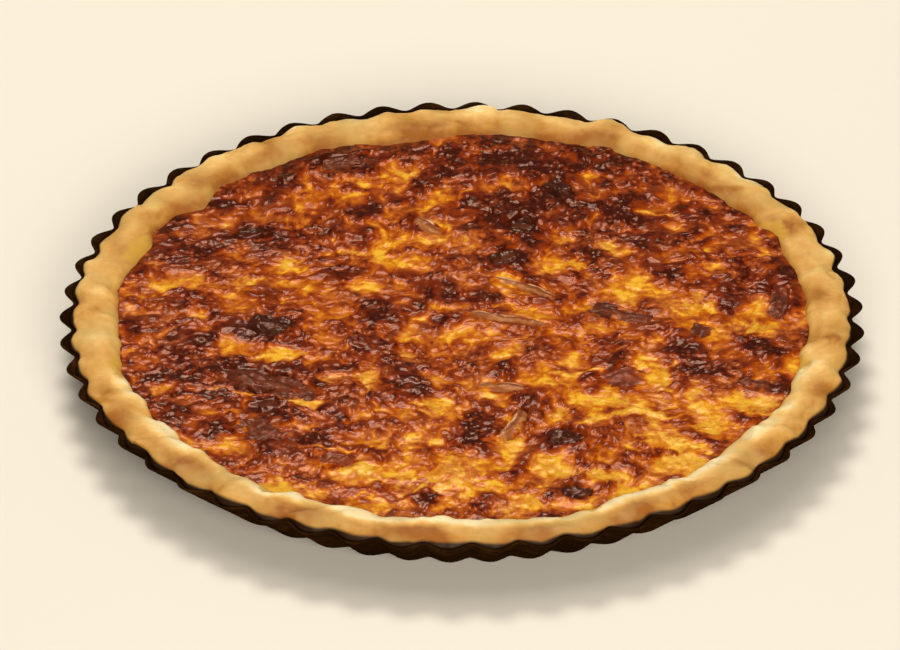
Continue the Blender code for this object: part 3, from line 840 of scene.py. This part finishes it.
filling = {
    "edge": 18.6 * mm,
    "dome": 1.2 * mm,
    "wave": 1.0 * mm,
    "waveLength": 34 * mm,
    "points": 300,  # on each side of the square grid that is mapped to the disc
    "floor": 5.4 * mm,
    # strands of pulled cheese: width, then points in mm
    "strands": (
        (2.2, ((-90, -38), (-75, -41), (-60, -47), (-50, -50))),
        (2.6, ((40, -62), (50, -56), (60, -53), (75, -55))),
        (1.8, ((62, 72), (70, 70), (77, 70))),
        (1.6, ((-56, -76), (-47, -77), (-38, -78))),
        (1.4, ((30, -30), (41, -29), (50, -27))),
        (1.6, ((-33, 64), (-28, 58), (-26, 51))),
    ),
    # pale egg between the browned patches: x, y, length, width in mm, turn in degrees, strength
    "pale": (
        (-62, 36, 15, 9, -15, 1.0), (-33, 25, 11, 9, 0, 0.9), (-26, 50, 14, 7, 20, 0.6), (-20, 37, 15, 10, 0, 0.7),
        (-98, 28, 22, 8, 0, 0.7), (-28, 94, 24, 9, 15, 0.8), (-52, 90, 12, 12, 0, 0.6), (-68, 68, 8, 8, 0, 0.6),
        (46, 92, 11, 11, 0, 0.7), (73, 84, 9, 9, 0, 0.6), (35, 56, 11, 10, 0, 0.6), (53, 47, 7, 10, 0, 0.8),
        (33, 36, 16, 9, 0, 0.8), (60, 25, 18, 17, 0, 1.2), (83, 32, 9, 9, 0, 0.5), (78, 14, 22, 10, 0, 0.7),
        (103, 10, 8, 10, 0, 0.8), (27, 3, 12, 7, 0, 0.7), (18, 50, 9, 7, 0, 0.5), (14, 26, 12, 7, -20, 0.6),
        (-78, -12, 11, 7, 0, 0.8), (-64, -18, 15, 8, 0, 0.8), (-8, -15, 12, 12, 0, 0.7), (-8, -35, 13, 9, 0, 0.7),
        (-44, -33, 10, 6, -20, 0.7), (-8, -50, 14, 9, 0, 0.8), (-32, -70, 16, 9, 0, 0.8), (-90, -73, 22, 9, -15, 0.7),
        (-28, -90, 22, 10, -10, 1.0), (-4, -92, 13, 16, 0, 1.0), (-30, -112, 16, 6, 0, 0.7), (-48, -103, 10, 5, 0, 0.7),
        (-62, -100, 10, 6, -35, 0.6), (68, -30, 8, 14, 0, 1.1), (50, -46, 19, 8, 0, 1.1), (100, -46, 17, 8, -15, 1.1),
        (85, -53, 14, 16, 0, 0.8), (117, -25, 8, 12, 0, 0.9), (14, -18, 9, 7, 0, 0.9), (37, -26, 7, 15, 0, 0.7),
        (28, -38, 15, 9, 0, 0.8), (16, -75, 12, 13, 0, 0.8), (76, -73, 17, 9, -15, 0.9), (72, -86, 15, 8, 0, 0.9),
        (30, -86, 15, 10, 0, 0.9), (48, -93, 11, 9, 0, 0.7), (10, -86, 16, 12, 0, 0.9), (22, -108, 9, 11, 0, 0.9),
        (8, -99, 14, 6, 0, 0.8), (-2, -5, 12, 8, 0, 0.5), (20, 12, 10, 8, 0, 0.5), (60, -16, 12, 6, 0, 0.5),
        (-36, -30, 12, 8, 0, 0.6), (-15, -70, 12, 8, 0, 0.5), (-112, -20, 8, 18, 0, 0.4), (40, -110, 12, 5, 10, 0.7),
        (-110, 60, 6, 12, 30, 0.4), (105, 52, 7, 12, 20, 0.5), (85, -87, 8, 6, 0, 0.7), (60, -100, 10, 5, 25, 0.7),
        (-30, 66, 60, 50, 0, 0.16), (-70, 30, 50, 44, 0, 0.12), (2, 80, 44, 22, 0, 0.25), (-60, 80, 40, 18, 0, 0.15),
        (50, 80, 22, 18, 0, 0.3), (-10, 50, 22, 40, 0, 0.2), (-110, 20, 18, 24, 0, 0.5), (-80, 18, 40, 20, 0, 0.2),
        (-42, 20, 44, 18, 0, 0.2), (-50, -8, 22, 34, 0, 0.3), (50, 0, 20, 18, 0, 0.2), (100, 0, 40, 20, 0, 0.28),
        (-60, -60, 40, 20, 0, 0.2), (50, -100, 20, 16, 0, 0.25), (10, -60, 20, 18, 0, 0.15),
    ),
    # patches baked dark, the same way
    "dark": (
        (-37, 104, 44, 20, 8, 0.5), (-85, 78, 26, 14, 20, 0.4), (-72, 58, 20, 14, 0, 0.8), (-50, 58, 18, 10, -10, 0.5),
        (-100, 45, 18, 14, 0, 0.6), (-33, 73, 9, 9, 0, 0.9), (-12, 92, 16, 11, 0, 0.6), (-62, 92, 12, 11, 0, 0.6),
        (-95, 16, 26, 16, 0, 0.5), (-30, 12, 26, 16, 0, 0.5), (-8, 20, 14, 13, 0, 0.7), (-67, 0, 28, 20, 0, 0.6),
        (-45, 72, 18, 12, 0, 0.4), (5, 70, 26, 20, 0, 0.5), (12, 108, 30, 14, 0, 0.5), (52, 106, 22, 12, 0, 0.8),
        (33, 87, 18, 18, 0, 0.7), (22, 103, 9, 15, 0, 0.8), (22, 65, 12, 16, 0, 0.6), (17, 40, 22, 12, 24, 0.5),
        (64, 66, 18, 9, 0, 0.7), (90, 68, 12, 10, 0, 0.7), (46, 42, 5, 8, 0, 0.8), (62, 50, 9, 12, 0, 0.6),
        (70, 32, 13, 12, 0, 0.7), (95, 15, 14, 12, 0, 0.7), (93, 30, 14, 14, 0, 0.5), (112, 20, 14, 36, 0, 0.5),
        (50, 76, 22, 12, 0, 0.3), (40, 70, 30, 16, 0, 0.4), (-92, -12, 16, 18, 0, 0.5), (-105, -30, 14, 9, 0, 0.7),
        (-72, -36, 56, 20, -27, 0.5), (-70, -62, 48, 20, -18, 0.4), (-52, -72, 13, 9, 0, 0.8), (-34, -16, 9, 9, 0, 1.0),
        (-20, -37, 16, 7, 0, 0.7), (-100, -48, 14, 12, 0, 0.5), (-12, -108, 9, 8, 0, 1.3), (-47, -99, 4, 6, 0, 0.8),
        (-26, -20, 14, 20, 0, 0.4), (-75, -82, 24, 12, -25, 0.3), (52, -32, 24, 20, 0, 0.4), (78, -14, 12, 8, 0, 1.0),
        (83, -28, 18, 14, 0, 0.7), (105, -13, 15, 13, 0, 0.9), (112, -38, 11, 9, 0, 0.8), (97, -35, 7, 6, 0, 0.7),
        (25, -50, 9, 9, 0, 0.9), (8, -52, 12, 9, 0, 0.5), (38, -70, 24, 14, 0, 0.6), (88, -74, 7, 9, 0, 1.0),
        (58, -88, 9, 13, 0, 0.8), (20, -90, 8, 8, 0, 0.9), (40, -102, 20, 13, 0, 0.6), (6, -66, 16, 18, 0, 0.5),
        (11, -108, 8, 7, 0, 0.5), (97, -57, 13, 8, 0, 0.5), (55, -12, 22, 12, 0, 0.4), (18, -28, 20, 10, 0, 0.4),
        (105, 30, 10, 20, 0, 0.4), (100, 60, 12, 20, 10, 0.3), (-112, 0, 10, 22, 0, 0.3), (70, -62, 14, 9, 0, 0.3),
        (36, 72, 80, 56, 0, 0.34), (70, 28, 60, 40, 0, 0.22), (-66, -28, 76, 52, 0, 0.32), (-30, -66, 60, 50, 0, 0.22),
        (26, 98, 60, 18, 0, 0.25), (-60, 40, 80, 22, 0, 0.3), (26, 60, 22, 22, 0, 0.3), (14, 40, 22, 18, 0, 0.25),
        (30, 20, 20, 20, 0, 0.2), (-30, 0, 20, 20, 0, 0.3), (20, 0, 40, 18, 0, 0.16), (-10, -20, 22, 20, 0, 0.3),
        (100, -20, 40, 22, 0, 0.42), (-10, -40, 22, 20, 0, 0.4), (30, -60, 20, 18, 0, 0.2), (-50, -80, 22, 20, 0, 0.3),
        (24, -80, 48, 24, 0, 0.56), (-90, -60, 20, 18, 0, 0.25), (110, 20, 16, 20, 0, 0.25), (70, 0, 20, 18, 0, 0.2),
    ),
}


def discPoints(count):
    # a square grid bent to the unit disc, with nearly even spacing
    a, b = np.meshgrid(np.linspace(-1, 1, count), np.linspace(-1, 1, count))
    wide = abs(a) > abs(b)
    radius = np.where(wide, a, b)
    safeA, safeB = np.where(a == 0, 1, a), np.where(b == 0, 1, b)
    angle = np.where(wide, math.pi / 4 * b / safeA, math.pi / 2 - math.pi / 4 * a / safeB)
    return radius * np.cos(angle), radius * np.sin(angle)


def patchField(x, y, patches):
    total = np.zeros_like(x)
    for px, py, length, width, turn, strength in patches:
        c, s = math.cos(math.radians(turn)), math.sin(math.radians(turn))
        dx, dy = x - px * mm, y - py * mm
        u = (c * dx + s * dy) / (length / 2 * mm)
        v = (-s * dx + c * dy) / (width / 2 * mm)
        total += strength * np.exp(-((u * u + v * v) ** 1.3) * 0.8)
    return total


def ranked(values):
    # each value's place in the whole, from 0 to 1
    order = np.argsort(values, axis=None)
    place = np.empty(values.size)
    place[order] = np.linspace(0, 1, values.size)
    return place.reshape(values.shape)


def warped(x, y):
    across = 3.0 * mm * softNoise(x, y, 11 * mm, 101) + 1.6 * mm * softNoise(x, y, 4.5 * mm, 103)
    along = 3.0 * mm * softNoise(x, y, 11 * mm, 102) + 1.6 * mm * softNoise(x, y, 4.5 * mm, 104)
    return x + across, y + along


def rawBake(x, y):
    # how strongly the custard is browned here, before it is spread evenly from 0 to 1
    wx, wy = warped(x, y)
    field = 0.52 * roughNoise(wx, wy, 12 * mm, 111, octaves=4, keep=0.66)
    seam = roughNoise(wx, wy, 9 * mm, 117, octaves=2)
    field -= 0.30 * np.exp(-((seam / 0.13) ** 2))
    field += 0.16 * (y * 0.8 - x * 0.5) / (100 * mm)
    field += 0.70 * patchField(wx, wy, filling["dark"]) - 0.85 * patchField(wx, wy, filling["pale"])
    field += 0.15 * smoothStep(np.hypot(x, y), 112 * mm, 120 * mm)
    return field - 0.9 * strandField(wx, wy)


def bakeAt(x, y):
    return np.interp(rawBake(x, y), filling["bakeSteps"], np.linspace(0, 1, len(filling["bakeSteps"])))


def strandField(x, y):
    # 1 along the strands of pulled cheese, 0 away from them
    field = np.zeros_like(x)
    for width, strand in filling["strands"]:
        for (ax, ay), (bx, by) in zip(strand, strand[1:]):
            dx, dy = (bx - ax) * mm, (by - ay) * mm
            share = np.clip(((x - ax * mm) * dx + (y - ay * mm) * dy) / (dx * dx + dy * dy), 0, 1)
            away = np.hypot(x - ax * mm - share * dx, y - ay * mm - share * dy)
            field = np.maximum(field, np.exp(-((away / (width * mm / 2)) ** 2)))
    return field


def makeFilling():
    unitX, unitY = discPoints(filling["points"])
    angle = np.arctan2(unitY, unitX)
    inside = np.hypot(unitX, unitY)
    edgeRadius = pastry["innerRadius"] - foldReach(angle.ravel()).reshape(angle.shape) + 1.0 * mm
    scale = pastry["innerRadius"] * (1 + (edgeRadius / pastry["innerRadius"] - 1) * inside**4)
    x, y = unitX * scale, unitY * scale
    filling["bakeSteps"] = np.sort(rawBake(x, y).ravel())[:: x.size // 400]
    bake = bakeAt(x, y)

    wx, wy = warped(x, y)
    crusty = smoothStep(bake, 0.15, 0.75)
    first, second, number = cellNoise(wx, wy, 6.5 * mm, 121)
    blister = np.clip(1 - (first / 0.66) ** 2, 0, 1) * smoothStep(number, 0.2, 0.8)
    small, _, smallNumber = cellNoise(wx, wy, 2.9 * mm, 131)
    bubble = np.clip(1 - (small / 0.6) ** 2, 0, 1) * smoothStep(smallNumber, 0.3, 0.9)
    wrinkle = 1 - 1.7 * abs(roughNoise(wx, wy, 6.0 * mm, 141, octaves=2))
    lumps = roughNoise(x, y, 17 * mm, 151, octaves=2)
    fine = roughNoise(wx, wy, 2.2 * mm, 161, octaves=2)
    relief = 0.45 * lumps + (0.50 * blister + 0.34 * bubble + 0.34 * wrinkle) * (0.3 + 0.7 * crusty) + 0.20 * fine
    relief += 0.5 * strandField(wx, wy) + 0.4 * (crusty - 0.5)

    wave = np.array([noise.noise(Vector((px, py, 7 * mm)) / filling["waveLength"])
                     for px, py in zip(x.ravel(), y.ravel())]).reshape(x.shape)
    share = np.clip(np.hypot(x, y) / pastry["innerRadius"], 0, 1)
    top = filling["edge"] + filling["dome"] * (1 - share**2) + filling["wave"] * wave * (1 - share**6)
    height = top + relief * mm
    hug = np.zeros_like(x)
    for topping in toppings:
        away = topping.away(wx * 0.5 + x * 0.5, wy * 0.5 + y * 0.5)
        outside = np.clip(away - 1, 0, None) * topping.half[1]
        hug = np.maximum(hug, np.exp(-((outside / (2.6 * mm)) ** 2)) * smoothStep(away, 0.7, 1.0))
        sunk = smoothStep(away, 0.72, 0.45)
        height = height * (1 - sunk) + (top - 1.6 * mm) * sunk
    height = height + 0.35 * mm * hug

    atEdge = smoothStep(inside, 0.955, 1.0)
    height = height * (1 - atEdge) + (filling["edge"] + 0.2 * mm + 0.35 * relief * mm) * atEdge

    count = filling["points"]
    points = np.stack([x, y, height], 2).reshape(-1, 3)
    faces = []
    for row in range(count - 1):
        for column in range(count - 1):
            start = row * count + column
            faces.append((start, start + 1, start + count + 1, start + count))
    loop = list(range(count)) + [r * count + count - 1 for r in range(1, count)]
    loop += [(count - 1) * count + c for c in range(count - 2, -1, -1)] + [r * count for r in range(count - 2, 0, -1)]
    low = points[loop].copy()
    low[:, :2] *= (pastry["floorRadius"] - 1 * mm) / np.linalg.norm(low[:, :2], axis=1)[:, None]
    low[:, 2] = filling["floor"]
    base = len(points)
    points = np.vstack([points, low, [[0, 0, filling["floor"]]]])
    centre = len(points) - 1
    for index in range(len(loop)):
        after = (index + 1) % len(loop)
        faces.append((loop[after], loop[index], base + index, base + after))
        faces.append((base + after, base + index, centre))
    piece = newPiece("bakedCustard", points, faces, custardLook())
    pointValue(piece, "bake", np.concatenate([bake.ravel(), np.full(len(loop) + 1, 0.3)]))
    faceOutwards(piece)
    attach(piece, "root")
    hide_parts("filling")
    print("filling made")


# ---- floor, light and camera

studio = {
    "elevation": 34.0,
    "lens": 1200.0,
    "distance": 10.468,
    "aim": Vector((-0.0041, 0.0, 0.0195)),
    "keyPower": 17.0,
    "topPower": 8.5,
    "frontPower": 44.0,
    "world": (1.0, 0.96, 0.89),
    "worldStrength": 0.10,
}


def aimAt(item, place, target):
    item.location = place
    item.rotation_euler = (target - place).to_track_quat("-Z", "Y").to_euler()


def areaLight(name, place, target, size, power, color):
    lamp = bpy.data.lights.new(name, "AREA")
    lamp.shape = "RECTANGLE"
    lamp.size, lamp.size_y = size
    lamp.energy = power
    lamp.color = color
    item = bpy.data.objects.new(name, lamp)
    bpy.context.scene.collection.objects.link(item)
    aimAt(item, Vector(place), Vector(target))


def makeStudio():
    floor = newPiece("floor", [(-4, -4, 0), (4, -4, 0), (4, 4, 0), (-4, 4, 0)], [(0, 1, 2, 3)], floorLook())
    areaLight("windowLight", (-0.15, 0.95, 1.52), (0, 0, 0), (0.62, 0.50), studio["keyPower"], (1.0, 0.96, 0.90))
    areaLight("topLight", (0, 0.2, 1.80), (0, 0, 0), (1.4, 1.4), studio["topPower"], (1.0, 0.96, 0.90))
    areaLight("frontLight", (0.2, -2.0, 1.0), (0, 0, 0), (1.4, 0.8), studio["frontPower"], (1.0, 0.95, 0.88))
    world = bpy.data.worlds.new("studioWorld")
    bpy.context.scene.world = world
    world.use_nodes = True
    back = world.node_tree.nodes["Background"]
    back.inputs["Color"].default_value = (*studio["world"], 1.0)
    back.inputs["Strength"].default_value = studio["worldStrength"]
    camera = bpy.data.objects.new("camera", bpy.data.cameras.new("camera"))
    bpy.context.scene.collection.objects.link(camera)
    bpy.context.scene.camera = camera
    camera.data.lens = studio["lens"]
    tilt = math.radians(studio["elevation"])
    back = Vector((0, -math.cos(tilt), math.sin(tilt))) * studio["distance"]
    aimAt(camera, studio["aim"] + back, studio["aim"])
    bpy.context.scene.view_settings.view_transform = "Standard"
    print("studio made")


toppings = [Topping(node) for node in sorted(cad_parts) if node.split("_")[0] in toppingKinds]
makeTin()
makePastry()
makeFilling()
makeToppings()
makeStudio()
